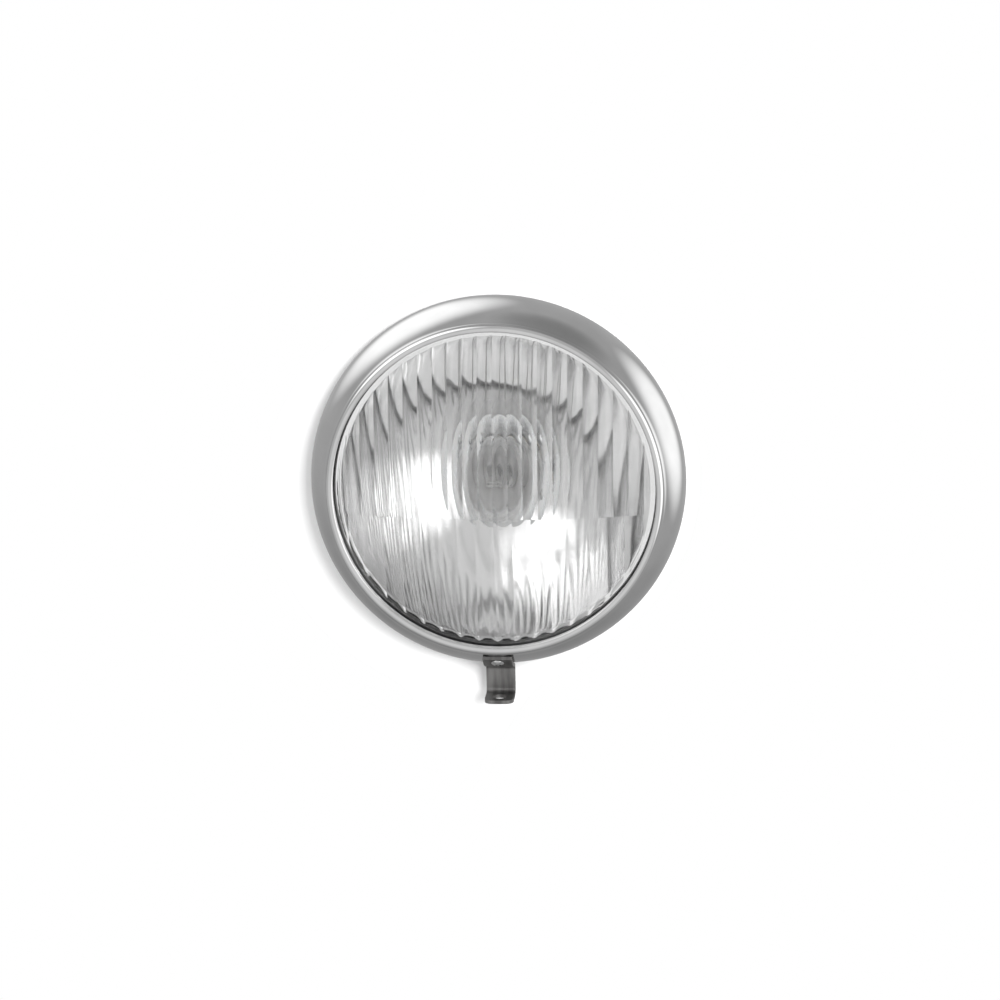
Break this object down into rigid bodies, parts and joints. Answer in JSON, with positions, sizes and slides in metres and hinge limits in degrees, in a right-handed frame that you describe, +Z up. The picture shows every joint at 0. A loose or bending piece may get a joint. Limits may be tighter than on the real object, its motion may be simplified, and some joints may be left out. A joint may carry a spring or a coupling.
{
  "type": "scooter headlight",
  "caption": "Round scooter headlight: chromed rim, fluted glass lens, parabolic reflector with bulb and bulb holder, and a small bent steel bracket under the rim.",
  "frame": {"origin": "on the lamp axis, in the plane of the rim's back edge, where the lamp seats on its housing", "axes": "+Y along the lamp axis towards the bulb holder, so the lens faces -Y; +Z up, the bracket hangs at -Z"},
  "size_m": [0.122, 0.0805, 0.133],
  "materials": {
    "rim_chrome": "polished chrome plate on pressed steel",
    "lens_glass": "clear pressed glass",
    "seal_rubber": "moulded black rubber",
    "mirror_coat": "silvered and lacquered steel bowl",
    "spring_steel": "hard drawn spring steel",
    "dark_steel": "dark raw steel strip with lengthwise rolling marks",
    "zinc_plate": "bright zinc plate on sheet steel",
    "brown_laminate": "brown paper laminate",
    "brass": "plain stamped brass",
    "solder": "dull solder",
    "copper_lead": "stranded copper",
    "bulb_glass": "thin clear blown glass",
    "cap_cement": "baked basing cement",
    "black_glass": "black glass insulator",
    "filament_wire": "drawn wire"
  },
  "bodies": {
    "root": {"rim": "rim_chrome", "bracket_rivet": "rim_chrome", "lens": "lens_glass", "lens_seal": "seal_rubber", "reflector": "mirror_coat", "retaining_clip_1": "spring_steel", "retaining_clip_2": "spring_steel", "retaining_clip_3": "spring_steel", "retaining_clip_4": "spring_steel", "holder_clip_1": "spring_steel", "holder_clip_2": "spring_steel", "carrier_spring": "spring_steel", "mounting_bracket": "dark_steel", "holder_plate": "zinc_plate", "bulb_sleeve": "zinc_plate", "sleeve_rivets": "zinc_plate", "contact_carrier": "brown_laminate", "terminal_plate": "brown_laminate", "contact_pin_1": "brass", "contact_pin_2": "brass", "terminal_1": "brass", "terminal_2": "brass", "bulb_cap": "brass", "cap_pins": "brass", "cap_contact_1": "solder", "cap_contact_2": "solder", "contact_lead_1": "copper_lead", "contact_lead_2": "copper_lead", "bulb_globe": "bulb_glass", "filament_stem": "bulb_glass", "cap_cement": "cap_cement", "cap_insulator": "black_glass", "support_wire_1": "filament_wire", "support_wire_2": "filament_wire", "support_wire_3": "filament_wire", "support_wire_4": "filament_wire", "main_filament": "filament_wire", "dip_filament": "filament_wire"}
  },
  "joints": []
}
